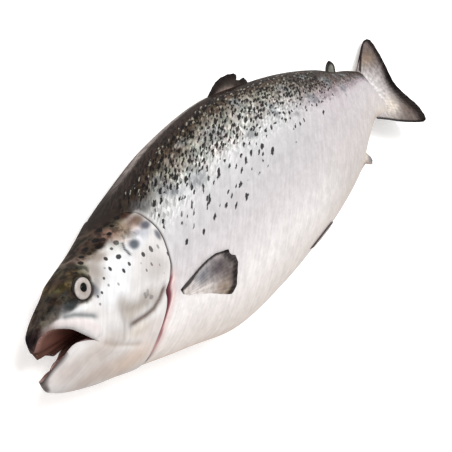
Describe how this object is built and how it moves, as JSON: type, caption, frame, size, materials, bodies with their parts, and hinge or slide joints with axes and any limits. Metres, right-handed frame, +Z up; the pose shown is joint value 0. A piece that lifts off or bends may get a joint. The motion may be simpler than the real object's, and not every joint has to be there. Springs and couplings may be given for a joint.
{
  "type": "raw whole salmon",
  "caption": "Whole raw salmon lying on its side, with silver flank, dark spotted back, open mouth and folded fins; a fresh fish for kitchen and market scenes",
  "frame": {"origin": "centre of the bounding box in plan, at the height of the surface that the fish lies on", "axes": "the head points along -X and the tail along +X, the back along +Y and the belly along -Y, and +Z is up through the left flank"},
  "size_m": [0.8068, 0.2152, 0.0877],
  "materials": {
    "skin": "wet scaled fish skin: dark olive back with black spots, silver flank and cream belly",
    "fins": "thin wet fin membrane over ribbed rays, dark along the edges",
    "mouth": "wet flesh, dark red brown",
    "eye": "pale clouded ring round a black pupil, wet and clear on top",
    "gill": "wet dark red gill flesh"
  },
  "bodies": {
    "root": {"salmon": "skin"}
  },
  "joints": []
}
